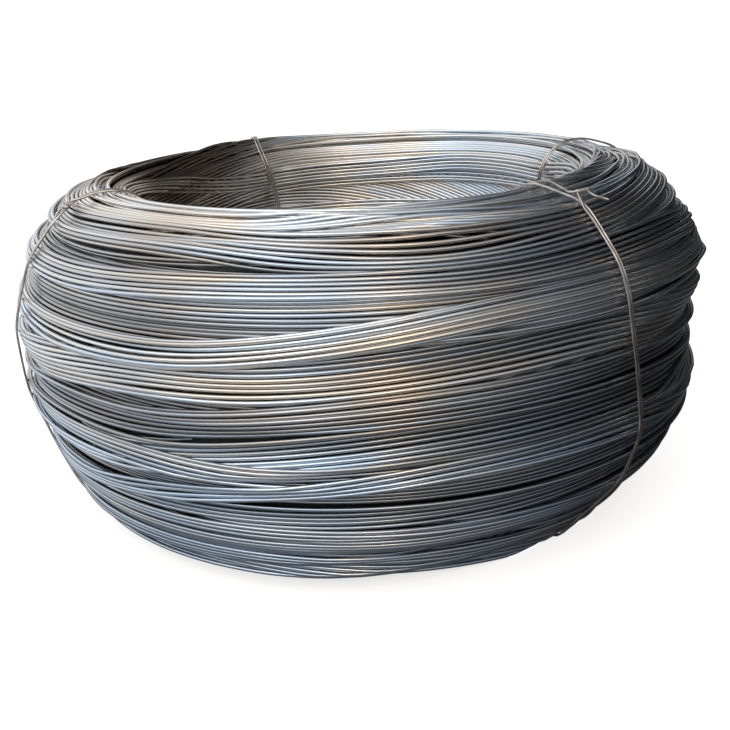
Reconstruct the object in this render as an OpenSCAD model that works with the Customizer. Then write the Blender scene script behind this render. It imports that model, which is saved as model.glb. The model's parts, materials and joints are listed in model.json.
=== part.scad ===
// Coil of drawn steel wire, standing on its end and held by four doubled tie wires.
// Millimetres, +Z up. The origin is on the floor, on the axis of the bore.

/* [Wire] */
// Diameter of the coiled wire
wire_d = 4; // [3:0.25:6]

/* [Coil] */
// Diameter of the bore
bore_d = 490; // [400:10:600]
// Radial build of the winding, from the bore to the widest turn
winding_w = 155; // [130:5:200]
// Height of the coil
coil_h = 370; // [320:10:440]
// Height of the widest turn above the floor
widest_z = 225; // [180:5:250]
// Rounding of the upper rim of the bore
rim_round = 36; // [20:2:50]
// Level width of the crown, outside the rounded rim
crown_flat = 8; // [4:1:20]
// Rounding of the lower rim of the bore
foot_round = 12; // [8:1:20]
// Level width of the base, outside the lower rim
base_flat = 48; // [30:1:60]

/* [Bundles] */
// Valleys between the bundles of turns below the widest turn
valleys_below = 4; // [1:1:6]
// Valleys between the bundles of turns above the widest turn
valleys_above = 3; // [1:1:5]
// Valleys between the bundles of turns on the wall of the bore
valleys_bore = 5; // [1:1:8]
// Depth of all those valleys
valley_depth = 7; // [2:0.5:9]
// Height of the plain land on the crest of each bundle in the bore, which an arbor bears on
bore_land = 14; // [8:1:24]

/* [Ties] */
// Diameter of the tie wire
tie_d = 2.5; // [1.5:0.25:4]
// Room between a tie and the turns that it holds
tie_room = 0.3; // [0.2:0.05:0.5]
// Extra depth of the beds that a tie presses into bore and base, where it bends out of them
bed_ease = 0.6; // [0.4:0.1:1.2]
// Room between strands of one tie that lie side by side
strand_room = 0.4; // [0.2:0.05:0.8]
// Directions of the ties about the axis: front right, front left, back left, back right
tie_angles = [308, 206, 116, 18]; // [0:1:359]
// Place of the knots on the shoulder, as a share of the way up from the widest turn
knot_share = 0.7; // [0.5:0.05:0.85]
// Number of times that the two ends of a tie are twisted about each other
knot_twists = 2; // [1:0.5:4]
// Length of one twist
twist_len = 12; // [9:0.5:18]
// Length of the two tails past the last twist
tail_len = 9; // [4:0.5:20]
// How far the tails spread apart
tail_spread = 3; // [0:0.5:3]

/* [Hidden] */

STEEL = "#8d9296";
TIE_STEEL = "#6d675f";

bore_r = bore_d / 2;
coil_r = bore_r + winding_w;
crown_r = bore_r + rim_round + crown_flat;
base_r = bore_r + foot_round + base_flat;
// The bore's upright wall ends where its two rounded rims begin
bore_low = foot_round;
bore_high = coil_h - rim_round;

// Each round corner of the coil's section: centre, half widths, and the angles that it starts and ends at
LOWER_BARREL = [[base_r, widest_z], [coil_r - base_r, widest_z], [-90, 0]];
SHOULDER = [[crown_r, widest_z], [coil_r - crown_r, coil_h - widest_z], [0, 90]];
RIM = [[bore_r + rim_round, coil_h - rim_round], [rim_round, rim_round], [90, 180]];
FOOT = [[bore_r + foot_round, foot_round], [foot_round, foot_round], [180, 270]];

tie_r = tie_d / 2;
tie_sides = 8;
strand_pitch = tie_d + strand_room;
// A tie's middle lies this far outside the turns, and as far inside the bore and base where it is bedded
tie_out = tie_room + tie_r;
bed_depth = tie_d + 2 * tie_room + bed_ease;
bed_w = 2 * strand_pitch + tie_d + 2 * tie_room;
shoulder_steps = 14;
barrel_steps = 26;
rim_steps = 10;
foot_steps = 6;

// The twisted ends lie along the coil, clear above the strand that passes under them
twist_r = strand_pitch / 2;
knot_rise = tie_room + 2 * tie_d + twist_r;
knot_start = strand_pitch + tie_d;
knot_lead = 2 * tie_d;
lead_steps = 8;
twist_steps = 12;
tail_steps = 5;

// A turn shows as the outer faces of an eight-sided wire, with a level crest
crest_w = wire_d * tan(360 / 8 / 2);
coil_facets = 96;
bore_steps = 8;
cut_over = 1;
// A short stretch of a corner, as a share of it, over which its length is measured
probe = 0.002;

function unit(v) = v / norm(v);

// The way that a corner faces at a share of its length, and a point moved out from it that way
function angle_at(corner, share) = corner[2][0] + (corner[2][1] - corner[2][0]) * share;
function facing(corner, share) =
    let (angle = angle_at(corner, share))
    unit([corner[1].y * cos(angle), corner[1].x * sin(angle)]);
function off_corner(corner, share, out) =
    let (angle = angle_at(corner, share))
    corner[0] + [corner[1].x * cos(angle), corner[1].y * sin(angle)] + out * facing(corner, share);

// Turns step along a corner by about one wire at a time, down into each valley and out again, and
// the step after the last one ends the corner. Each turn is the middle of its crest and the way it faces.
function valley(share, valleys) = valley_depth * (1 - abs(cos(180 * valleys * share)));
function crest_at(corner, share, valleys) = off_corner(corner, share, -valley(share, valleys));
function step_from(corner, share, valleys) =
    probe * wire_d
    / norm(crest_at(corner, share + probe, valleys) - crest_at(corner, share, valleys));
function steps_along(corner, valleys) =
    [for (share = 0; share < 1; share = share + step_from(corner, share, valleys)) share];
function turns_round(corner, first = 0, valleys = 0) =
    let (steps = steps_along(corner, valleys),
         last = steps[len(steps) - 1],
         end = last + step_from(corner, last, valleys))
    [for (i = [first:len(steps) - 1])
        let (share = steps[i] / end)
        [crest_at(corner, share, valleys), facing(corner, share)]];

// Turns side by side on a level stretch, the last of them one wire short of its end
function turns_across(from, to, faces) =
    let (count = max(1, round(norm(to - from) / wire_d)))
    [for (i = [0:count - 1]) [from + (to - from) * i / count, faces]];

// Outline of a row of turns: the two edges of each crest, and the notch before the next turn
function crest_edge(turn, side) = turn[0] + side * crest_w / 2 * [-turn[1].y, turn[1].x];
function notch(turn, next) =
    let (a = crest_edge(turn, 1), b = crest_edge(next, -1))
    (a + b) / 2 - norm(b - a) / 2 * unit(turn[1] + next[1]);
function scalloped(turns) =
    [for (i = [0:len(turns) - 1]) each concat(
        [crest_edge(turns[i], -1), crest_edge(turns[i], 1)],
        i < len(turns) - 1 ? [notch(turns[i], turns[i + 1])] : [])];

TURNS = concat(
    turns_round(FOOT, first = 1),
    turns_across([bore_r + foot_round, 0], [base_r, 0], [0, -1]),
    turns_round(LOWER_BARREL, valleys = valleys_below),
    turns_round(SHOULDER, valleys = valleys_above),
    turns_across([crown_r, coil_h], [bore_r + rim_round, coil_h], [0, 1]),
    turns_round(RIM));

// The bore's wall from its upper rim down: plain lands, with one valley between each two
bore_pitch = (bore_high - bore_low - bore_land) / valleys_bore;
BORE_WALL = concat(
    [[bore_r, bore_high]],
    [for (i = [0:valleys_bore - 1], step = [0:bore_steps])
        let (share = step / bore_steps)
        [bore_r + valley(share, 1),
            bore_high - bore_land - i * bore_pitch - share * (bore_pitch - bore_land)]],
    [[bore_r, bore_low]]);

// The channel that one tie presses into the turns of the bore and of the base
module tie_bed() {
    translate([bore_r - cut_over, -bed_w / 2, -cut_over])
        cube([bed_depth + cut_over, bed_w, coil_h + cut_over]);
    translate([bore_r - cut_over, -bed_w / 2, -cut_over])
        cube([winding_w + cut_over, bed_w, bed_depth + cut_over]);
}

module wire_coil() {
    color(STEEL)
        difference() {
            rotate_extrude($fn = coil_facets)
                polygon(concat(BORE_WALL, scalloped(TURNS)));
            for (angle = tie_angles)
                rotate(angle)
                    tie_bed();
        }
}

// One lap of a tie round the section, from the knot down the barrel, under the base and up the bore
function bedded(p) = [max(p.x, bore_r + tie_out), max(p.y, tie_out)];
function bend(corner, from, to, first, steps) =
    [for (i = [first:steps]) bedded(off_corner(corner, from + (to - from) * i / steps, tie_out))];
LAP = concat(
    bend(SHOULDER, knot_share, 0, 0, shoulder_steps),
    bend(LOWER_BARREL, 1, 0, 1, barrel_steps),
    bend(FOOT, 1, 0, 0, foot_steps),
    bend(RIM, 1, 0, 0, rim_steps),
    bend(SHOULDER, 1, knot_share, 0, foot_steps));
lap_last = len(LAP) - 1;

// A tie's wire goes round twice, and drifts sideways by one strand each time
function strand(lap, i) =
    [LAP[i].x, strand_pitch * (lap - 1 + i / lap_last), LAP[i].y];

// Places about the knot: along the lap, out from the coil, and sideways
knot_at = off_corner(SHOULDER, knot_share, 0);
knot_out = facing(SHOULDER, knot_share);
knot_along = [knot_out.y, -knot_out.x];
function by_knot(along, out, aside) =
    let (p = knot_at + along * knot_along + out * knot_out)
    [p.x, aside, p.y];

// The end on one side of the knot, from its strand over the others and twisted about the other end
function bezier(a, b, c, d, t) =
    pow(1 - t, 3) * a + 3 * pow(1 - t, 2) * t * b + 3 * (1 - t) * t * t * c + pow(t, 3) * d;
function twisted(side, t) =
    let (past = max(0, t - knot_twists) * twist_len / tail_len,
         r = twist_r + tail_spread * past * past,
         angle = 360 * min(t, knot_twists))
    by_knot(side * r * cos(angle), knot_rise + side * r * sin(angle), knot_start + twist_len * t);
function lead_in(side, from) =
    [for (i = [1:lead_steps - 1])
        bezier(from, by_knot(side * knot_lead, knot_rise, from.y),
            by_knot(side * twist_r, knot_rise, from.y), twisted(side, 0), i / lead_steps)];
function twist_and_tail(side) =
    concat(
        [for (i = [0:twist_steps * knot_twists]) twisted(side, i / twist_steps)],
        [for (i = [1:tail_steps]) twisted(side, knot_twists + i / tail_steps * tail_len / twist_len)]);
function tie_end(side, from) = concat(lead_in(side, from), twist_and_tail(side));

function reversed(list) = [for (i = [len(list) - 1:-1:0]) list[i]];
TIE_PATH = concat(
    reversed(tie_end(1, strand(0, 1))),
    [for (i = [1:lap_last]) strand(0, i)],
    [for (i = [1:lap_last - 1]) strand(1, i)],
    tie_end(-1, strand(1, lap_last - 1)));
path_last = len(TIE_PATH) - 1;

// Round wire swept along the path, its rings carried from one point to the next without twisting
function heading(i) =
    unit(TIE_PATH[min(i + 1, path_last)] - TIE_PATH[max(min(i, path_last) - 1, 0)]);
function square_to(v, direction) = unit(v - (v * direction) * direction);
RING_SIDES = [for (i = 0, side = square_to([0, 0, 1], heading(0)); i <= path_last;
    side = square_to(side, heading(i + 1)), i = i + 1) side];
function ring(i) =
    let (other = cross(heading(i), RING_SIDES[i]))
    [for (k = [0:tie_sides - 1])
        let (angle = 360 * k / tie_sides)
        TIE_PATH[i] + tie_r * (cos(angle) * RING_SIDES[i] + sin(angle) * other)];
TIE_POINTS = [for (i = [0:path_last]) each ring(i)];
TIE_FACES = concat(
    [[for (k = [0:tie_sides - 1]) k]],
    [for (i = [0:path_last - 1], k = [0:tie_sides - 1])
        let (next = (k + 1) % tie_sides, low = i * tie_sides, high = low + tie_sides)
        [low + k, high + k, high + next, low + next]],
    [[for (k = [tie_sides - 1:-1:0]) path_last * tie_sides + k]]);

module tie(angle) {
    color(TIE_STEEL)
        rotate(angle)
            polyhedron(TIE_POINTS, TIE_FACES);
}

module tie_front_right() { tie(tie_angles[0]); }
module tie_front_left() { tie(tie_angles[1]); }
module tie_back_left() { tie(tie_angles[2]); }
module tie_back_right() { tie(tie_angles[3]); }

wire_coil();
tie_front_right();
tie_front_left();
tie_back_left();
tie_back_right();
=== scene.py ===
# %% [markdown]
# # A coil of drawn steel wire
# The real thing is one long wire, dropped off a drawing block in loose loops until some two
# thousand turns make a heavy ring. Four doubled tie wires keep the loops together.
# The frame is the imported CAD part: one turned solid with its bore, and the four ties.
# Here the solid gives its outline, and many separate stretches of wire take its place.

# %% The frame
import json
import math

import bpy
import numpy as np
from mathutils import Matrix, Vector
from mathutils.geometry import convex_hull_2d


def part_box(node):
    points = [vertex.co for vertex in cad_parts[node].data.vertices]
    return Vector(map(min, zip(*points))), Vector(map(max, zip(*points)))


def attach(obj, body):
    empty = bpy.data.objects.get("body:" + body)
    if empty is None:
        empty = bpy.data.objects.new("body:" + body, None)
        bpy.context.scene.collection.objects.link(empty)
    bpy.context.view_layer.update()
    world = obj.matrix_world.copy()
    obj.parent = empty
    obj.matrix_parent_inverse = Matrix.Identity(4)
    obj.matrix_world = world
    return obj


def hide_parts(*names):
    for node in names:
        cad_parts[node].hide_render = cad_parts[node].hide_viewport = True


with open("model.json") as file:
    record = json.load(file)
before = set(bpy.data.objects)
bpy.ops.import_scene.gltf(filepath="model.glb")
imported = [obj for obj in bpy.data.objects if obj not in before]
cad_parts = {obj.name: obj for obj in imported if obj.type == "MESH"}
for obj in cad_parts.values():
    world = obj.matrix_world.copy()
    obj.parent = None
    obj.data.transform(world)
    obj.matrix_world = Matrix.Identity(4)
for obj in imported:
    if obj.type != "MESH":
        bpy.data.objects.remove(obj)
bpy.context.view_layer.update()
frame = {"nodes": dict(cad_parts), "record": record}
MM = 0.001
print("CAD nodes:", sorted(frame["nodes"]))

# %% [markdown]
# ## The section of the winding
# Cut the ring once and its section is a closed outline: the straight wall of the bore, a rounded
# foot, the floor, a barrel-shaped outside, the crown and the rounded rim.
# Wires lie on this outline, so it is turned into a ruler: even cells along the outline, each with
# its place and the way it faces. A wire's place is then two numbers, how far along the outline
# it lies and how high above it, which is much easier to plan than X, Y and Z.

# %% The outline as a ruler
wire_d = 4 * MM
wire_r = wire_d / 2
cells_to_wire = 16
cell = wire_d / cells_to_wire

_, coil_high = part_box("wire_coil")
coil_r, coil_h = coil_high.x, coil_high.z
coil_eye = next(mount for mount in frame["record"]["mounts"] if mount["name"] == "coil_eye")
bore_r = coil_eye["dims"]["r_mm"] * MM
widest_z = 225 * MM
rim_round = 36 * MM
foot_round = 26 * MM
crown_flat = 8 * MM
base_r = 305 * MM
crown_r = bore_r + rim_round + crown_flat
lower_barrel = (base_r, widest_z), (coil_r - base_r, widest_z)
shoulder = (crown_r, widest_z), (coil_r - crown_r, coil_h - widest_z)


def corner(centre, half_widths, start, end):
    turn = np.radians(np.linspace(start, end, 400))
    return np.array(centre) + np.array(half_widths) * np.column_stack([np.cos(turn), np.sin(turn)])


outline = np.vstack([
    corner((bore_r + foot_round, foot_round), (foot_round, foot_round), 180, 270),
    corner(*lower_barrel, -90, 0),
    corner(*shoulder, 0, 90),
    corner((bore_r + rim_round, coil_h - rim_round), (rim_round, rim_round), 90, 180),
])
outline = np.vstack([outline, outline[:1]])
reach = np.concatenate([[0], np.cumsum(np.hypot(*np.diff(outline, axis=0).T))])
girth = reach[-1]
cells = round(girth / cell)
cell = girth / cells
ruler = np.arange(cells) * cell
section = np.column_stack([np.interp(ruler, reach, side) for side in outline.T])
along_section = np.roll(section, -1, axis=0) - np.roll(section, 1, axis=0)
outward = np.column_stack([along_section[:, 1], -along_section[:, 0]])
outward /= np.hypot(*outward.T)[:, None]
widest_at = ruler[section[:, 0].argmax()]
print(f"The outline is {girth / MM:.0f} mm round, in {cells} cells")

# %% [markdown]
# ## How full the winding is
# A real coil isn't a smooth barrel. Loops gather in bundles, so outside and bore have soft lobes
# with valleys between them, as many as in the CAD part, that wander up and down and are deepest
# at the front. In the photograph the right flank is also pressed in, and the front right
# undercut. All this is one height over the outline for every angle round the coil.

# %% Sizes of the lobes and hollows
stations = 144
angle = np.arange(stations) * 2 * np.pi / stations
valleys_below, valleys_above, valleys_bore = 4, 3, 5
valley_depth = 7 * MM
usual_depth, deeper_front = 0.9, 0.4
front_way, front_spread = -np.pi / 2, np.radians(50)
drift_waves = (0.18, -0.4), (0.14, 1.3), (0.08, 0.0)
bore_land = 14 * MM
bore_low, bore_high = 12 * MM, coil_h - rim_round
flank_way, flank_spread = np.radians(-19), np.radians(38)
pressed_in, pressed_at, pressed_high = 14 * MM, 195 * MM, 48 * MM
groove_depth, groove_at, groove_high = 10 * MM, 226 * MM, 14 * MM
undercut_way, undercut_spread = np.radians(-55), np.radians(28)
undercut_depth, undercut_at, undercut_high = 20 * MM, 20 * MM, 45 * MM
outside_fade = 30 * MM
headroom = 4 * MM

# %% The shape the turns fill


def bump(value, middle, spread):
    return np.exp(-(((value - middle) / spread) ** 2))


def apart(first, second):
    """The angle between two directions, as the shorter way round."""
    return np.angle(np.exp(1j * (first - second)))


def facing(way, spread):
    """1 at the stations that face this way, fading to 0 on both sides."""
    return bump(apart(angle, way), 0, spread)[:, None]


def turned(centre, half_widths):
    """How far round a corner each cell lies, in quarters from the widest turn."""
    across, up = ((section - centre) / half_widths).T
    return np.arctan2(up, across) / (np.pi / 2)


def valley(share):
    return valley_depth * (1 - np.abs(np.cos(np.pi * share)))


height_up = section[:, 1]
on_outside = np.clip((section[:, 0] - base_r) / outside_fade, 0, 1)
in_bore = np.clip((bore_r + foot_round - section[:, 0]) / foot_round, 0, 1)
drift = sum(size * np.cos(times * angle + start) for times, (size, start) in enumerate(drift_waves, 1))
lobes_below, lobes_above = valleys_below * turned(*lower_barrel), valleys_above * turned(*shoulder)
lobe = np.where(height_up < widest_z, lobes_below, lobes_above)
bore_pitch = (bore_high - bore_low - bore_land) / valleys_bore
down_bore = (bore_high - bore_land - height_up) / bore_pitch + drift[:, None] / 2
bore_share = np.minimum(down_bore % 1 * bore_pitch / (bore_pitch - bore_land), 1)
depth_here = usual_depth + deeper_front * facing(front_way, front_spread)
dip = on_outside * valley(lobe + drift[:, None]) * depth_here + in_bore * valley(bore_share)

flank_shape = -pressed_in * bump(height_up, pressed_at, pressed_high)
flank_shape = flank_shape - groove_depth * bump(height_up, groove_at, groove_high)
undercut_shape = -undercut_depth * bump(height_up, undercut_at, undercut_high)
hollows = facing(flank_way, flank_spread) * flank_shape
hollows = hollows + facing(undercut_way, undercut_spread) * undercut_shape
fill = on_outside * hollows - dip - headroom
print(f"The fill runs from {fill.min() / MM:.1f} to {fill.max() / MM:.1f} mm over the outline")

# %% [markdown]
# ## Laying the turns
# The turns could be drawn as neat rings, but then nothing crosses and the coil looks machined.
# Here they are laid the way the drawing block lays them, one on another. `top` keeps the height
# of the pile in every cell, and `owner` which turn is uppermost there. A turn rests on whatever
# lies under it, and is too stiff to follow every dip, so it bridges the small ones.

# %% The pile and one turn on it
laid_depth, less_in_bore = 14 * MM, 5 * MM
bedding = laid_depth - in_bore * less_in_bore
stiffness = 24
touching = 0.3 * MM
top = fill - bedding
owner = np.full(top.shape, -1)
round_the_coil = np.arange(stations)[:, None]
past_wire = cells_to_wire // 2 + 1
wire_cells = np.arange(-past_wire, past_wire + 1)
turns = []


def cells_near(path, steps):
    """The cells beside a path at every station, and how far aside of it they lie."""
    nearest = np.rint(path / cell).astype(int)[:, None] + steps
    return nearest % cells, nearest * cell - path[:, None]


def lay_turn(path, tone):
    """Rests one turn on the pile. Its height is that of its centre at every station."""
    near, aside = cells_near(path, wire_cells)
    arc = np.sqrt(np.maximum(wire_r**2 - aside**2, 0))
    pile = top[round_the_coil, near]
    rest = np.where(np.abs(aside) < wire_r - touching, pile + arc, -1).max(axis=1)
    height = rest.copy()
    for _ in range(stiffness):
        height = np.maximum(rest, height / 2 + (np.roll(height, 1) + np.roll(height, -1)) / 4)
    crest = np.where(np.abs(aside) < wire_r, height[:, None] + arc, -1)
    owner[round_the_coil, near] = np.where(crest > pile, len(turns), owner[round_the_coil, near])
    top[round_the_coil, near] = np.maximum(crest, pile)
    turns.append({"path": path, "height": height, "tone": tone})


# %% [markdown]
# A bundle is a few turns side by side and, where there is room, one fewer on top of them. It
# sways round the coil, and settles into the lowest way that it finds near its sway.
# That way is found station by station: for every place on the outline, the cheapest step that
# leads there from the station before, and at the end the chain of steps is followed back.
# Two laps are searched and the middle one is kept, so that the way meets itself.

# %% The lowest way round
lay = np.random.default_rng(3)
sway = np.array([26, 12, 5, 2]) * MM
column_cells = 8
columns = cells // column_cells
column = girth / columns
sway_hold = 40 * MM
deepest_dip = 2.2
side_step_cost = 0.05
way_smoothing = 16


def swaying(size):
    """How far a bundle strays along the outline at every station."""
    swings = sway * size * lay.normal(size=len(sway))
    starts = lay.uniform(0, 2 * np.pi, len(sway))
    waves = enumerate(zip(swings, starts), 1)
    return sum(swing * np.cos(times * angle + start) for times, (swing, start) in waves)


def smooth_round(path, passes):
    for _ in range(passes):
        path = path / 2 + (np.roll(path, 1) + np.roll(path, -1)) / 4
    return path


def pile_in_columns(count):
    """How high the pile stands over the fill, in wires, averaged over the width of a bundle."""
    over_fill = (top - fill)[:, : columns * column_cells]
    pile = over_fill.reshape(stations, columns, column_cells).max(axis=2) / wire_d
    wide = max(1, round(count * wire_d / column))
    return sum(np.roll(pile, shift - wide // 2, axis=1) for shift in range(wide)) / wide


def lowest_way(count):
    """A path round the coil for a bundle of so many turns."""
    pile = pile_in_columns(count)
    wish = lay.uniform(0, girth) + swaying(1)
    astray = np.abs((np.arange(columns) * column - wish[:, None] + girth / 2) % girth - girth / 2)
    cost = np.maximum(pile, -deepest_dip) + np.minimum(astray / sway_hold, 1)
    steps = np.arange(-1, 2)
    total, came = cost[0], []
    for row in np.vstack([cost, cost])[1:]:
        options = np.stack([np.roll(total, step) + side_step_cost * abs(step) for step in steps])
        came.append(steps[options.argmin(axis=0)])
        total = options.min(axis=0) + row
    way = [int(total.argmin())]
    for step in came[::-1]:
        way.append(way[-1] - step[way[-1] % columns])
    half_lap = stations // 2
    lap = np.array(way[::-1][half_lap : half_lap + stations + 1], float)
    lap -= np.linspace(0, lap[-1] - lap[0], stations + 1)
    return smooth_round(np.roll((lap[:-1] + 0.5) * column, half_lap), way_smoothing)


# %% [markdown]
# The first layer lies side by side, and bundles follow until the winding is full. A bundle's
# turns lie a little apart, most of all at the right, and share most of their tone. Bundles that
# keep to the valleys get a darker tone than those on the lobes, which is painted shade.

# %% The first layer, then the bundles
first_pitch = wire_d * 1.05
layer_sway, turn_sway = 0.7, 0.012
fewest_turns, most_turns = 4, 9
least_room = 0.2 * wire_d
stack_room = 1.4 * wire_d
cells_apart = 4
bundle_share = 0.6
# Painted shade: how much darker a bundle's tone gets for keeping to the valleys
valley_painted_shade = 0.8
usual_dip = valley_depth * (1 - 2 / np.pi)
loosest_way, loose_spread = np.radians(-20), np.radians(45)
usual_pitch, looser_by = 1.18, 0.22
loose_pitch = wire_d * (usual_pitch + looser_by * bump(apart(angle, loosest_way), 0, loose_spread))

first_layer = int(girth / first_pitch)
first_sway = swaying(layer_sway)
for place in range(first_layer):
    lay_turn(place * girth / first_layer + first_sway, lay.uniform())

while True:
    count = int(lay.integers(fewest_turns, most_turns + 1))
    middle = lowest_way(count)
    half_bundle = count * cells_to_wire // 2
    under, _ = cells_near(middle, np.arange(-half_bundle, half_bundle, cells_apart))
    room = (fill - top)[round_the_coil, under].mean()
    if room < least_room:
        break
    on_lobe = (usual_dip - dip[round_the_coil, under].mean()) / valley_depth
    # Painted shade: a bundle in the valleys gets a darker tone
    bundle_tone = lay.uniform() + valley_painted_shade * on_lobe
    layers = (count, count - 1) if room > stack_room else (count,)
    for layer in layers:
        for place in np.arange(layer) - (layer - 1) / 2:
            path = middle + place * loose_pitch + swaying(turn_sway)
            lay_turn(path, bundle_share * bundle_tone + (1 - bundle_share) * lay.uniform())
over = (top - fill) / MM
print(f"{len(turns)} turns laid, {over.mean():.1f} mm over the fill, up to {over.max():.1f} mm")

# %% [markdown]
# ## Where the ties go
# The ties are made further below, but a tight tie presses the turns of the bore and the base in
# a little, as its bed in the CAD part does, so their places come first. `angle` is a tie's
# direction in degrees, and `spread` how many times farther apart its strands lie at the rim.
# `lean` and `slant` are the degrees that it strays at the rim and on the lower flank. `knot` is
# where its knot lies, from the crown at 0 to the widest turn at 1, and `tail` its longer end.

# %% The places of the ties
ties = {
    "tie_front_right": {"angle": 308, "spread": 8, "lean": 0, "slant": 5, "knot": 0.36, "tail": "hanging"},
    "tie_front_left": {"angle": 206, "spread": 5, "lean": 0, "slant": -10, "knot": 0.4, "tail": "curled"},
    "tie_back_left": {"angle": 116, "spread": 1.3, "lean": 4, "slant": 0, "knot": 0.8, "tail": "hanging"},
    "tie_back_right": {"angle": 18, "spread": 1.5, "lean": -2, "slant": 0, "knot": 0.8, "tail": "curled"},
}
tie_press = 3.2 * MM
press_reach = 14 * MM
flat_fade = 3
held_flat = np.clip(1 - on_outside * flat_fade, 0, 1) * (height_up < coil_h - rim_round)

# %% [markdown]
# ## What can be seen
# Most of the length that was laid is buried. A turn shows where it owns a cell of the pile, so
# only those stretches are kept, with a little more at both ends that dives under its neighbours.
# The wire in the bore gets a brighter tone, which is painted light. Outside, a stretch also
# keeps how deep it lies between the bundles, so that the turns down there can be painted darker, as shade.
# The turns can't pass through the floor or into the bore either.

# %% Turns on the section
least_cells = 3
under_cover = 5
dive = np.array([4, 2, 0.8]) * MM
# Painted light: how much brighter the tone of the turns in the bore is
bore_painted_light = 0.5
wire_sides = 6
# A wire with few sides is a little wider, so that it looks about as thick as a round one
swept_r = wire_r * 1.04
bundle_crests = fill + dip


def at_path(values, path):
    """What the cells of the outline hold, at every point of a path."""
    return np.interp(path % girth, ruler, values, period=girth)


def place_on_section(path, height):
    """Radius and height over the floor of points given along and over the outline."""
    spots = np.column_stack([at_path(side, path) for side in section.T])
    ways = np.column_stack([at_path(side, path) for side in outward.T])
    return spots + ways * height[:, None]


def pressed(path, height):
    """A turn's height after the floor, the bore and the ties have flattened it."""
    flat = at_path(held_flat, path)
    inside = np.minimum(height, -wire_r)
    for tie in ties.values():
        inside = inside - tie_press * bump(apart(angle, np.radians(tie["angle"])) * bore_r, 0, press_reach)
    return flat * inside + (1 - flat) * height


def sunk_between_bundles(path, height):
    """How deep a turn lies under the crests of the bundles outside, in depths of a valley."""
    crest = bundle_crests[np.arange(stations), np.rint(path / cell).astype(int) % cells]
    return (crest - height) / valley_depth * at_path(on_outside, path)


# %% Stretches of wire that show


def stations_seen(number, path):
    """The stations where a turn shows, and a few more beside them."""
    near, _ = cells_near(path, wire_cells)
    seen = (owner[round_the_coil, near] == number).sum(axis=1) >= least_cells
    for _ in range(under_cover):
        seen = seen | np.roll(seen, 1) | np.roll(seen, -1)
    return seen


def shown_runs(seen):
    """First and last station of every stretch that shows, counted on past the end of the circle."""
    if seen.all():
        return [(0, stations)]
    starts = np.flatnonzero(seen & ~np.roll(seen, 1))
    return [(start, start + int(np.argmin(np.roll(seen, -start))) - 1) for start in starts]


runs = []
for number, turn in enumerate(turns):
    path = turn["path"]
    seen = stations_seen(number, path)
    height = pressed(path, turn["height"])
    sunk = sunk_between_bundles(path, turn["height"])
    # Painted light: a brighter tone for the turns in the bore
    tone = turn["tone"] + bore_painted_light * at_path(in_bore, path).mean()
    for first, last in shown_runs(seen):
        picked = np.arange(first, last + 1) % stations
        over = height[picked]
        if not seen.all():
            over[: len(dive)] -= dive
            over[-len(dive) :] -= dive[::-1]
        radius, up = place_on_section(path[picked], over).T
        way = angle[picked]
        points = np.column_stack([radius * np.cos(way), radius * np.sin(way), np.maximum(up, swept_r)])
        middle = path[picked].mean() % girth
        runs.append({"points": points, "tone": tone, "sunk": sunk[picked], "at": middle})
shown_length = sum(len(run["points"]) for run in runs)
print(f"{len(runs)} stretches show, with {shown_length} points")

# %% [markdown]
# ## From paths to wire
# A path becomes a wire when a circle is swept along it. Geometry Nodes do that for hundreds of
# paths at once: the paths come in as loose edges, become curves, and a round profile follows
# them. Each path carries its tone, how deep it lies and its length along the wire as attributes,
# and the profile adds how far round the wire a point is, so that the finish can follow every turn.

# %% The sweep, as Geometry Nodes
sweep_sockets = {"Paths": "Geometry", "Wire diameter": "Float", "Sides": "Int", "Finish": "Material"}


def sweep_tree():
    tree = bpy.data.node_groups.new("Sweep wire along paths", "GeometryNodeTree")
    sockets = {}
    for name, kind in sweep_sockets.items():
        sockets[name] = tree.interface.new_socket(name, in_out="INPUT", socket_type="NodeSocket" + kind)
    tree.interface.new_socket("Wire", in_out="OUTPUT", socket_type="NodeSocketGeometry")
    node = tree.nodes.new
    given, made = node("NodeGroupInput"), node("NodeGroupOutput")
    to_curve, circle = node("GeometryNodeMeshToCurve"), node("GeometryNodeCurvePrimitiveCircle")
    half = node("ShaderNodeMath")
    half.operation = "MULTIPLY"
    half.inputs[1].default_value = 0.5
    around, store = node("GeometryNodeSplineParameter"), node("GeometryNodeStoreNamedAttribute")
    store.data_type, store.domain = "FLOAT", "POINT"
    store.inputs["Name"].default_value = "around"
    sweep, smooth = node("GeometryNodeCurveToMesh"), node("GeometryNodeSetShadeSmooth")
    sweep.inputs["Fill Caps"].default_value = True
    realize, paint = node("GeometryNodeRealizeInstances"), node("GeometryNodeSetMaterial")
    for source, target in (
        (given.outputs["Paths"], to_curve.inputs["Mesh"]),
        (given.outputs["Wire diameter"], half.inputs[0]),
        (half.outputs[0], circle.inputs["Radius"]),
        (given.outputs["Sides"], circle.inputs["Resolution"]),
        (circle.outputs["Curve"], store.inputs["Geometry"]),
        (around.outputs["Factor"], store.inputs["Value"]),
        (to_curve.outputs["Curve"], sweep.inputs["Curve"]),
        (store.outputs["Geometry"], sweep.inputs["Profile Curve"]),
        (sweep.outputs["Mesh"], smooth.inputs["Geometry"]),
        (smooth.outputs["Geometry"], realize.inputs["Geometry"]),
        (realize.outputs["Geometry"], paint.inputs["Geometry"]),
        (given.outputs["Finish"], paint.inputs["Material"]),
        (paint.outputs["Geometry"], made.inputs["Wire"]),
    ):
        tree.links.new(source, target)
    return tree, {name: socket.identifier for name, socket in sockets.items()}


wire_sweep, sweep_inputs = sweep_tree()
print("Sweep inputs:", list(sweep_inputs))

# %% [markdown]
# ## A map along the wire
# Each piece gets a flat map, so that its finish can be painted on a picture. An automatic map
# would cut the wires into crumbs, so the map is written here: every stretch is one long strip, and
# strips share rows.

# %% Rows of strips, and the map
strip_edge, strip_width = 0.1, 0.8


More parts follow.
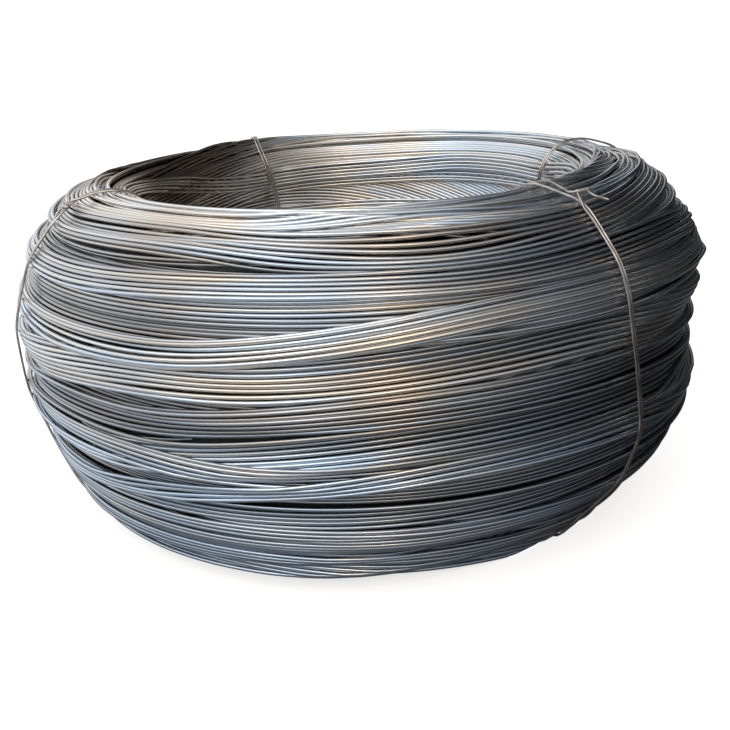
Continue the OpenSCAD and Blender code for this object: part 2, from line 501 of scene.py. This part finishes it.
def strips_in_rows(lengths):
    """The row and start of each strip, longest first, in rows as long as the longest."""
    row_of, start_of = np.zeros(len(lengths)), np.zeros(len(lengths))
    full = max(lengths)
    used = []
    for strip in np.argsort(lengths)[::-1]:
        fits = (row for row, taken in enumerate(used) if taken + lengths[strip] <= full * 1.0001)
        row = next(fits, len(used))
        if row == len(used):
            used.append(0.0)
        row_of[strip], start_of[strip] = row, used[row]
        used[row] += lengths[strip]
    return row_of / len(used), start_of / full, len(used), full


def values_of(mesh, name):
    found = np.empty(len(mesh.vertices), np.float32)
    mesh.attributes[name].data.foreach_get("value", found)
    return found


def map_strips(mesh, rows):
    """Lays every stretch on the map. A face that closes the circle runs to the strip's far edge."""
    corner_vertex = np.empty(len(mesh.loops), np.int32)
    mesh.loops.foreach_get("vertex_index", corner_vertex)
    starts = np.empty(len(mesh.polygons), np.int32)
    mesh.polygons.foreach_get("loop_start", starts)
    sizes = np.diff(np.append(starts, len(corner_vertex)))
    around = values_of(mesh, "around")[corner_vertex]
    closes = np.maximum.reduceat(around, starts) - np.minimum.reduceat(around, starts) > 0.5
    around = np.where(np.repeat(closes & (sizes == 4), sizes) & (around < 0.3), 1.0, around)
    across = values_of(mesh, "strip_row")[corner_vertex] + (strip_edge + strip_width * around) / rows
    spots = np.column_stack([values_of(mesh, "strip_along")[corner_vertex], across]).astype(np.float32)
    layer = mesh.uv_layers.new(name="OFBake")
    layer.data.foreach_set("uv", spots.ravel())


# %% Wires from paths


def paths_as_edges(name, paths, values):
    """A mesh of loose edges, with named values on its points."""
    points = np.vstack(paths)
    ends = np.cumsum([len(path) for path in paths]) - 1
    firsts = np.setdiff1d(np.arange(len(points)), ends)
    mesh = bpy.data.meshes.new(name)
    mesh.from_pydata(points.tolist(), np.column_stack([firsts, firsts + 1]).tolist(), [])
    for attribute, on_points in values.items():
        layer = mesh.attributes.new(attribute, "FLOAT", "POINT")
        layer.data.foreach_set("value", on_points.astype(np.float32))
    return mesh


def length_along(path):
    return np.concatenate([[0], np.cumsum(np.linalg.norm(np.diff(path, axis=0), axis=1))])


def make_wires(name, paths, tones, sunk, diameter, sides, finish):
    """One piece of swept wires, as a plain mesh with its strip map."""
    lengths = [length_along(path) for path in paths]
    row_of, start_of, rows, full = strips_in_rows([length[-1] for length in lengths])
    counts = [len(path) for path in paths]
    values = {
        "tone": np.repeat(tones, counts),
        "sunk": np.concatenate(sunk),
        "along": np.concatenate(lengths),
        "strip_along": np.repeat(start_of, counts) + np.concatenate(lengths) / full,
        "strip_row": np.repeat(row_of, counts),
    }
    piece = bpy.data.objects.new(name, paths_as_edges(name, paths, values))
    bpy.context.collection.objects.link(piece)
    modifier = piece.modifiers.new("Sweep", "NODES")
    modifier.node_group = wire_sweep
    modifier[sweep_inputs["Wire diameter"]] = diameter
    modifier[sweep_inputs["Sides"]] = sides
    modifier[sweep_inputs["Finish"]] = finish
    swept = bpy.data.meshes.new_from_object(piece.evaluated_get(bpy.context.evaluated_depsgraph_get()))
    piece.modifiers.remove(modifier)
    piece.data = swept
    swept.name = name
    map_strips(swept, rows)
    triangles = sum(len(face.vertices) - 2 for face in swept.polygons)
    print(f"{name}: {len(paths)} wires, {triangles} triangles")
    return piece


# %% [markdown]
# ## Finishes
# Drawn stainless wire is bright but not a mirror: the die leaves fine streaks along it, each
# turn has its own shade of grey, and some stretches keep a straw or bluish bloom. Light and
# shade are also painted into the colour: a warm glint makes the straw stronger in the upper
# middle, a reflection of blue sky tints the lower turns, shadow darkens and browns the left
# of the bore, a warm glint lies over the middle of the bore, and turns that lie deep between
# the bundles are painted dark, as shade.
# The sums below are shader maths, so one small class wraps a socket and lets Python's own
# operators add the Math nodes.

# %% A socket that does sums


class Shade:
    """A value in a material. Sums with it add Math nodes; add() gives any other node."""

    def __init__(self, tree, socket):
        self.tree, self.socket = tree, socket

    def add(self, kind, settings=None, output=0, **values):
        node = self.tree.nodes.new(kind)
        for name, setting in (settings or {}).items():
            setattr(node, name, setting)
        for name, value in values.items():
            self.feed(node.inputs[int(name[1:]) if name[1:].isdigit() else name.replace("_", " ")], value)
        return Shade(self.tree, node.outputs[output])

    def feed(self, socket, value):
        if isinstance(value, Shade):
            self.tree.links.new(value.socket, socket)
        else:
            socket.default_value = value

    def maths(self, operation, first, second):
        return self.add("ShaderNodeMath", {"operation": operation}, _0=first, _1=second)

    def __add__(self, other):
        return self.maths("ADD", self, other)

    def __sub__(self, other):
        return self.maths("SUBTRACT", self, other)

    def __rsub__(self, other):
        return self.maths("SUBTRACT", other, self)

    def __mul__(self, other):
        return self.maths("MULTIPLY", self, other)

    __radd__, __rmul__ = __add__, __mul__

    def at_least(self, other):
        return self.maths("MAXIMUM", self, other)

    def between(self, low, high):
        """0 up to the low value, 1 from the high one, and a soft step between them."""
        settings = {"interpolation_type": "SMOOTHSTEP"}
        return self.add("ShaderNodeMapRange", settings, Value=self, From_Min=low, From_Max=high)

    def blend(self, first, second):
        return self.add("ShaderNodeMix", {"data_type": "RGBA"}, output=2, _0=self, _6=first, _7=second)


# %% What the finishes share


def colour(red, green, blue):
    return (red, green, blue, 1)


def new_finish(name, metallic):
    material = bpy.data.materials.new(name)
    material.use_nodes = True
    tree = material.node_tree
    shader = tree.nodes["Principled BSDF"]
    shader.inputs["Metallic"].default_value = metallic
    return material, shader, Shade(tree, None)


def carried(shade, *names):
    """The values that the points of a wire carry."""
    return [shade.add("ShaderNodeAttribute", {"attribute_name": name}, output="Fac") for name in names]


def place_in_frame(shade):
    """Where a point is, and how far east, north and up that is."""
    place = shade.add("ShaderNodeTexCoord", output="Object")
    return place, *(shade.add("ShaderNodeSeparateXYZ", Vector=place, output=axis) for axis in range(3))


def noise_on_wire(shade, along, across, turn, detail):
    """Noise that runs along a wire and differs from turn to turn."""
    spot = shade.add("ShaderNodeCombineXYZ", X=along, Y=across, Z=turn)
    return shade.add("ShaderNodeTexNoise", Vector=spot, Scale=1, Detail=detail)


# %% The steel of the turns
dark_grey, light_grey = colour(0.40, 0.40, 0.41), colour(0.86, 0.87, 0.88)
dark_blue, light_blue = colour(0.35, 0.39, 0.44), colour(0.73, 0.84, 0.97)
# Warm tints, for the straw bloom, the painted warm glints and the painted brown shade of the bore
dark_warm, light_warm = colour(0.32, 0.23, 0.16), colour(0.87, 0.72, 0.55)
valley_shade_grey = colour(0.15, 0.15, 0.155)


def steel_wire_finish():
    material, shader, steel = new_finish("Drawn steel", 1)
    tone, along, around, sunk = carried(steel, "tone", "along", "around", "sunk")
    place, east, north, height = place_in_frame(steel)
    level = steel.add("ShaderNodeVectorMath", {"operation": "MULTIPLY"}, _0=place, _1=(1, 1, 0))
    from_axis = steel.add("ShaderNodeVectorMath", {"operation": "LENGTH"}, output="Value", Vector=level)

    streaks = noise_on_wire(steel, along * 9, around * 5, tone * 300, 3)
    long_wear = noise_on_wire(steel, along * 2.2, 0.0, tone * 90, 2)
    bloom = noise_on_wire(steel, along * 1.4, 5.0, tone * 140, 2)
    patches = steel.add("ShaderNodeTexNoise", Vector=place, Scale=7, Detail=2)

    in_bore = 1 - from_axis.between(0.25, 0.29)
    near_rim = 1 - from_axis.between(0.29, 0.36)
    # Painted shade: the left of the bore and the rim is darkened and browned for the shadow there
    painted_bore_shade = near_rim * (1 - east.between(-0.2, -0.09)) * north.between(-0.14, 0.0)
    # Painted reflection: a warm glint over the middle of the bore
    bore_warm_glint = in_bore * (1 - east.between(-0.1, 0.13)) * 0.6
    low_down = 1 - height.between(0.08, 0.27)
    midway = east.between(-0.3, -0.1) * (1 - east.between(0.04, 0.18))
    # Painted reflection: the upper middle, where a warm glint is painted over the random straw bloom
    warm_glint_zone = midway * (1 - low_down)

    shade = (tone * 0.8 + streaks * 0.3 + long_wear * 0.35 - painted_bore_shade * 0.75).between(0.24, 1.06)
    # Painted reflection: the lower turns lean to blue for the sky they reflect; the rest of the blue is
    # random bloom
    bloom_and_sky_blue = (bloom + low_down * 0.16).between(0.4, 0.7)
    grey = bloom_and_sky_blue.blend(shade.blend(dark_grey, light_grey), shade.blend(dark_blue, light_blue))
    straw_and_glint = (long_wear * 0.7 + patches * 0.5 + warm_glint_zone * 0.05).between(0.54, 0.74) * (0.3 + warm_glint_zone * 0.45)
    warm = straw_and_glint.at_least(bore_warm_glint).at_least(painted_bore_shade * 0.8)
    tinted = warm.blend(grey, shade.blend(dark_warm, light_warm))
    # Painted shade: turns that lie deep between the bundles blend towards dark grey
    valley_shaded = (sunk.between(0.45, 1.3) * 0.55).blend(tinted, valley_shade_grey)
    steel.feed(shader.inputs["Base Color"], valley_shaded)
    steel.feed(shader.inputs["Roughness"], 0.18 + streaks * 0.16)
    return material


# %% The steel inside the winding, and of the ties


def packed_turns_finish():
    material, shader, steel = new_finish("Steel in the dark of the winding", 1)
    place, *_ = place_in_frame(steel)
    noise = steel.add("ShaderNodeTexNoise", Vector=place, Scale=40, Detail=2)
    # Painted shade: the packed turns are the same steel, given a near-black colour for the shadow deep in the
    # winding
    steel.feed(shader.inputs["Base Color"], noise.blend(colour(0.05, 0.05, 0.05), colour(0.12, 0.12, 0.12)))
    shader.inputs["Roughness"].default_value = 0.6
    return material


def tie_wire_finish():
    material, shader, steel = new_finish("Annealed tie wire", 1)
    along, around = carried(steel, "along", "around")
    scale = noise_on_wire(steel, along * 60, around * 4, 0.0, 4)
    dull = scale.between(0.3, 0.75).blend(colour(0.33, 0.28, 0.25), colour(0.76, 0.71, 0.66))
    steel.feed(shader.inputs["Base Color"], dull)
    steel.feed(shader.inputs["Roughness"], 0.26 + scale * 0.2)
    return material


drawn_steel = steel_wire_finish()
annealed = tie_wire_finish()
steel_in_shade = packed_turns_finish()
print("Finishes:", [finish.name for finish in (drawn_steel, annealed, steel_in_shade)])

# %% [markdown]
# ## The coil in pieces
# One mesh of all the wire would be too large to pass on, so the stretches go into pieces by
# where they lie on the outline: the base, the barrel, the shoulder, the crown and the bore.

# %% Pieces of the coil
below_widest, above_widest = 55 * MM, 60 * MM
crown_wide = 40 * MM
base_end = foot_round * np.pi / 2 + base_r - bore_r
crown_start = ruler[np.flatnonzero(section[:, 0] >= crown_r + crown_wide).max()]
bore_top = ruler[np.flatnonzero(height_up >= coil_h - rim_round).max()]
bore_middle = (bore_top + girth) / 2
parts = (
    ("turns_base", 0, base_end),
    ("turns_lower_barrel", base_end, widest_at - below_widest),
    ("turns_upper_barrel", widest_at - below_widest, widest_at + above_widest),
    ("turns_shoulder", widest_at + above_widest, crown_start),
    ("turns_crown", crown_start, bore_top),
    ("turns_upper_bore", bore_top, bore_middle),
    ("turns_lower_bore", bore_middle, girth),
)
for name, start, end in parts:
    chosen = [run for run in runs if start <= run["at"] < end]
    paths, tones, sunk = ([run[key] for run in chosen] for key in ("points", "tone", "sunk"))
    piece = make_wires(name, paths, tones, sunk, swept_r * 2, wire_sides, drawn_steel)
    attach(piece, "root")
    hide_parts("wire_coil")

# %% The turns packed inside
every_cell, every_station = 24, 2
packed_rise = 0.6 * wire_d


def packed_turns():
    """What fills the winding under the turns that show: a plain ring a little below them."""
    spots = np.arange(0, cells, every_cell)
    rings = []
    for station in range(0, stations, every_station):
        depth = (fill[station] - bedding + packed_rise * (1 - held_flat) - tie_press * held_flat)[spots]
        radius, up = (section[spots] + outward[spots] * depth[:, None]).T
        rings.append(np.column_stack([radius * np.cos(angle[station]), radius * np.sin(angle[station]), up]))
    index = np.arange(len(rings) * len(spots)).reshape(len(rings), len(spots))
    next_ring = np.roll(index, -1, 0)
    faces = np.stack([index, next_ring, np.roll(next_ring, -1, 1), np.roll(index, -1, 1)], axis=-1)
    mesh = bpy.data.meshes.new("packed_turns")
    mesh.from_pydata(np.vstack(rings).tolist(), [], faces.reshape(-1, 4)[:, ::-1].tolist())
    mesh.polygons.foreach_set("use_smooth", np.ones(len(mesh.polygons), bool))
    mesh.materials.append(steel_in_shade)
    piece = bpy.data.objects.new("packed_turns", mesh)
    bpy.context.collection.objects.link(piece)
    return piece


inside = packed_turns()
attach(inside, "root")
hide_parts("wire_coil")

# %% [markdown]
# ## The ties
# Each tie is one soft wire that goes twice round the winding, with its ends twisted together on
# the shoulder. It could follow the outline, but a tight wire takes the shortest way: it touches
# only the proudest turns and bridges the hollows between them. Seen in section that way is the
# convex hull of all that it goes round, which Blender can find.

# %% The taut way round the winding
tie_d = 2.5 * MM
tie_r = tie_d / 2
tie_sides = 8
tie_step = 4 * MM
tie_room = 1 * MM
loop_smoothing = 10
near_tie = 5 * np.pi / stations


def taut_loop(tie_angle, knot_share):
    """Radius and height of a tight loop at this angle, in even steps from the knot over the crown."""
    beside = np.abs(apart(angle, tie_angle)) < near_tie
    surface = top[beside].max(axis=0)
    surface = held_flat * (np.minimum(surface, 0) - tie_press) + (1 - held_flat) * surface
    wrapped = section + outward * (surface + tie_r + tie_room)[:, None]
    hull = wrapped[np.sort(convex_hull_2d(wrapped.tolist()))]
    hull = np.vstack([hull, hull[:1]])
    run = np.concatenate([[0], np.cumsum(np.hypot(*np.diff(hull, axis=0).T))])
    steps = np.linspace(0, run[-1], round(run[-1] / tie_step), endpoint=False)
    loop = np.column_stack([smooth_round(np.interp(steps, run, side), loop_smoothing) for side in hull.T])
    on_shoulder = loop[:, 1] > widest_z
    knot_r = crown_r + knot_share * (coil_r - crown_r)
    knot = np.where(on_shoulder, np.abs(loop[:, 0] - knot_r), 1).argmin()
    return np.roll(loop, -knot, axis=0)


# %% [markdown]
# The two strands lie side by side. At the knot both ends leave the strands, rise over them and
# twist about each other. The tails are a few points in millimetres from the end of the twist:
# out from the coil, sideways and up along it.

# %% The strands of one tie
strand_pitch = 3.4 * MM
rim_reach = 60 * MM


def turned_out(radius, turn, height):
    return np.column_stack([radius * np.cos(turn), radius * np.sin(turn), height])


def strands(loop, tie):
    """Two laps of a tie, which spread and lean at the rim and slant on the lower flank."""
    count = len(loop)
    lap = np.arange(2 * count + 1) / count
    radius, height = loop[np.arange(2 * count + 1) % count].T
    at_rim = bump(np.hypot(radius - bore_r, height - coil_h), 0, rim_reach)
    at_flank = bump(height, widest_z / 2, widest_z / 2)
    at_flank = at_flank * np.clip((radius - crown_r) / (coil_r - crown_r), 0, 1)
    aside = strand_pitch * (1 - lap) * (1 + (tie["spread"] - 1) * at_rim)
    strays = np.radians(tie["lean"] * at_rim + tie["slant"] * at_flank)
    return turned_out(radius, math.radians(tie["angle"]) + aside / radius + strays, np.maximum(height, tie_r))


# %% The knot and the tails
twists = 3
twist_points = 8
twist_len = 15 * MM
twist_height = 4.6 * MM
twist_start = 3 * MM
twist_r = tie_r * 1.25
rise_over, rise_aside, rise_along = 2.4 * MM, 1.5 * MM, 9 * MM
lead = 5
short_tail = [(1, 2, 1), (1, 3, 3)]
tails = {
    "hanging": [(0.5, 0, -3), (0.5, -4, -8), (0, -4, -15), (-1, 1, -21), (-1.5, 4, -25)],
    "curled": [(2, 3, 1), (5, 3, 5), (5, -3, 8), (2, -7, 3), (1, -5, -4), (3, 1, -6)],
}


def curve_through(points, between=6):
    """A smooth curve through a few points."""
    points = np.array(points)
    padded = np.vstack([2 * points[0] - points[1], points, 2 * points[-1] - points[-2]])
    share = np.linspace(0, 1, between, endpoint=False)[:, None]
    spans = []
    for before, start, end, after in zip(padded, padded[1:], padded[2:], padded[3:]):
        bend = 2 * before - 5 * start + 4 * end - after + share * (3 * (start - end) + after - before)
        spans.append(start + share / 2 * (end - before + share * bend))
    return np.vstack([*spans, points[-1:]])


def tie_path(tie):
    """The whole wire of a tie, from tail to tail."""
    tie_angle = math.radians(tie["angle"])
    loop = taut_loop(tie_angle, tie["knot"])
    strand = strands(loop, tie)

    inward = np.array([-math.cos(tie_angle), -math.sin(tie_angle), 0])
    beside = np.array([-math.sin(tie_angle), math.cos(tie_angle), 0])
    rise = loop[1] - loop[-1]
    up = (rise[1] * np.array([0, 0, 1]) - rise[0] * inward) / np.hypot(*rise)
    out = np.cross(beside, up)
    knot = np.array([loop[0, 0] * math.cos(tie_angle), loop[0, 0] * math.sin(tie_angle), loop[0, 1]])

    def from_knot(over, sideways, upward):
        return knot + out * over + beside * sideways + up * upward

    def end_of(side, start, tail):
        """From a point of the strand up into the twist and out along its tail."""
        share = np.linspace(0, 1, twist_points * twists + 1)[:, None]
        phase = 2 * np.pi * twists * share + (0 if side > 0 else np.pi)
        twist = from_knot(twist_height, twist_start, 0) + beside * twist_len * share
        twist = twist + twist_r * (up * np.cos(phase) + out * np.sin(phase))
        rising = curve_through([start, from_knot(rise_over, rise_aside * side, rise_along * side), twist[0]])
        tail_points = [
            twist[-1] + (out * over + beside * sideways + up * upward) * MM
            for over, sideways, upward in tail
        ]
        leaving = curve_through([twist[-1], *tail_points])
        return np.vstack([rising[:-1], twist, leaving[1:]])

    first = end_of(1, strand[lead], tails[tie["tail"]])[::-1]
    last = end_of(-1, strand[-1 - lead], short_tail)
    return np.vstack([first[:-1], strand[lead : -1 - lead], last])


# %% Pieces of the ties
for name, tie in ties.items():
    path = tie_path(tie)
    piece = make_wires(name + "_wire", [path], [0.5], [np.zeros(len(path))], tie_d, tie_sides, annealed)
    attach(piece, "root")
    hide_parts(name)

# %% [markdown]
# ## The light and the floor
# Steel shows its surroundings more than its own colour. In the photograph the left is bright and
# a little blue, the right is dark and the middle has a warm glint. So a mat lies under the coil
# and a tall card stands round it, both pale at the left and nearly black at the right, and four
# lamps add the brightest lines. Mat and card are seen in the steel only.
# World and floor are white for rays that look at them straight or in the steel. For all other
# light they are dimmer, so that the floor keeps a soft shadow.

# %% World and floor


def white_seen(shade):
    """1 for rays that look at the background straight, in metal or through glass."""
    rays = ("Is Camera Ray", "Is Glossy Ray", "Is Transmission Ray")
    straight, in_metal, through = (shade.add("ShaderNodeLightPath", output=ray) for ray in rays)
    return straight.at_least(in_metal.at_least(through))


world = bpy.data.worlds.new("Studio")
bpy.context.scene.world = world
world.use_nodes = True
air = Shade(world.node_tree, None)
background = world.node_tree.nodes["Background"]
fill_light = 0.55
air.feed(background.inputs["Strength"], fill_light + white_seen(air) * (1 - fill_light))
background.inputs["Color"].default_value = colour(1, 1, 1)


def flat_sheet(name, corners, faces, finish):
    mesh = bpy.data.meshes.new(name)
    mesh.from_pydata(corners, [], faces)
    mesh.materials.append(finish)
    sheet = bpy.data.objects.new(name, mesh)
    bpy.context.collection.objects.link(sheet)
    return sheet


def level_sheet(name, west, east, half_depth, height, finish):
    front = [(west, -half_depth, height), (east, -half_depth, height)]
    back = [(east, half_depth, height), (west, half_depth, height)]
    return flat_sheet(name, front + back, [(0, 1, 2, 3)], finish)


def matt_paint(name, paint):
    material, shader, shade = new_finish(name, 0)
    shader.inputs["Base Color"].default_value = paint
    shader.inputs["Roughness"].default_value = 1
    shader.inputs["Specular IOR Level"].default_value = 0
    return material, shader, shade


def white_floor():
    """Pale paint that keeps the shadow, with the background's white over it."""
    material, shader, shade = matt_paint("White floor", colour(0.8, 0.8, 0.8))
    shader.inputs["Emission Color"].default_value = colour(1, 1, 1)
    shade.feed(shader.inputs["Emission Strength"], white_seen(shade) * 0.7)
    return material


floor_half = 60
level_sheet("floor", -floor_half, floor_half, floor_half, 0, white_floor())

# %% What the steel reflects


def painted_surroundings():
    """A grey wall under a pale sky at the front and left, and a high dark wall at the right.

    Past the right, towards the back, the wall is low again and the sky glows just over it.
    """
    material, shader, shade = matt_paint("Painted surroundings", colour(0, 0, 0))
    _, east, north, height = place_in_frame(shade)
    way = shade.maths("ARCTAN2", north, east)
    to_right = way.between(math.radians(-84), math.radians(-2))
    to_back = way.between(math.radians(20), math.radians(80))
    wall_dark = way.between(math.radians(-70), math.radians(25))
    wall = wall_dark.blend(colour(0.40, 0.43, 0.47), colour(0.008, 0.008, 0.009))
    wall_top = 0.45 + to_right * (1 - to_back) * 1.75
    low_glow = to_back * (1 - height.between(0.9, 1.6))
    right_sky = low_glow.blend(colour(0.085, 0.09, 0.1), colour(0.9, 0.9, 0.91))
    clouds = shade.add("ShaderNodeTexNoise", {"noise_dimensions": "1D"}, W=way * 6, Scale=1, Detail=2)
    left_sky = clouds.between(0.35, 0.65).blend(colour(0.66, 0.82, 1.0), colour(1.08, 1.05, 1.0))
    sky = to_right.blend(left_sky, right_sky)
    shade.feed(shader.inputs["Emission Color"], (height - wall_top).between(-0.2, 0.4).blend(wall, sky))
    shader.inputs["Emission Strength"].default_value = 1
    return material


def slate_mat():
    """Pale blue at the left, grey in the middle, and nearly black at the front right."""
    material, shader, shade = matt_paint("Slate mat", colour(0.16, 0.155, 0.15))
    _, east, north, _ = place_in_frame(shade)
    right = north.between(-0.3, 0.4).blend(colour(0.012, 0.012, 0.012), colour(0.14, 0.14, 0.14))
    left = east.between(-0.75, -0.1).blend(colour(0.56, 0.62, 0.69), colour(0.3, 0.32, 0.34))
    shade.feed(shader.inputs["Base Color"], east.between(-0.2, 0.6).blend(left, right))
    return material


def curved_card(name, start, end, radius, height, finish):
    ways = np.radians(np.arange(start, end + 1, 10))
    corners = [(radius * math.cos(way), radius * math.sin(way), z) for z in (0, height) for way in ways]
    count = len(ways)
    faces = [(side, side + 1, count + side + 1, count + side) for side in range(count - 1)]
    return flat_sheet(name, corners, faces, finish)


card_r, card_height = 3, 12
mat_west = -1.6
over_floor = 1 * MM
cards = (
    level_sheet("mat", mat_west, card_r, card_r, over_floor, slate_mat()),
    curved_card("surroundings", -170, 110, card_r, card_height, painted_surroundings()),
)
for sheet in cards:
    sheet.visible_camera = sheet.visible_diffuse = sheet.visible_shadow = False

# %% Lamps
daylight = (1.0, 0.98, 0.95)
low_sun = (1.0, 0.68, 0.36)
pale_gold = (1.0, 0.92, 0.74)


def soft_lamp(name, place, aim, size, power, tint):
    light = bpy.data.lights.new(name, "AREA")
    light.shape, light.size, light.energy, light.color = "DISK", size, power, tint
    lamp = bpy.data.objects.new(name, light)
    lamp.location = place
    lamp.rotation_euler = (Vector(aim) - Vector(place)).to_track_quat("-Z", "Y").to_euler()
    bpy.context.collection.objects.link(lamp)
    return lamp


soft_lamp("key", (-1.9, -1.6, 2.4), (0, 0, 0.2), 2.4, 16.5, daylight)
soft_lamp("front", (-0.7, -2.43, 1.9), (0, 0.2, 0.3), 2.0, 8.5, daylight)
soft_lamp("sun", (0.3, -2.4, 1.7), (0, 0.2, 0.3), 0.6, 5.5, low_sun)
soft_lamp("glint", (2.6, 0.75, 1.9), (0, 0, 0.3), 0.3, 0.5, pale_gold)

# %% [markdown]
# ## The camera
# The camera stands 1.2 m in front of the axis and looks down on the crown. The photograph is
# also tipped a little, with its right side up.

# %% The camera of the photograph
camera_distance = 1.2
camera_height = 0.541
look_down = 19.44
tip = 2.92
focal_pixels = 1016
image_pixels = 730

camera_data = bpy.data.cameras.new("photo_camera")
camera_data.sensor_width = 36
camera_data.lens = focal_pixels / image_pixels * camera_data.sensor_width
camera_data.clip_end = 100
camera = bpy.data.objects.new("photo_camera", camera_data)
camera.matrix_world = (
    Matrix.Translation((0, -camera_distance, camera_height))
    @ Matrix.Rotation(math.radians(90 - look_down), 4, "X")
    @ Matrix.Rotation(math.radians(-tip), 4, "Z")
)
bpy.context.collection.objects.link(camera)
bpy.context.scene.camera = camera
bpy.context.scene.view_settings.view_transform = "Standard"
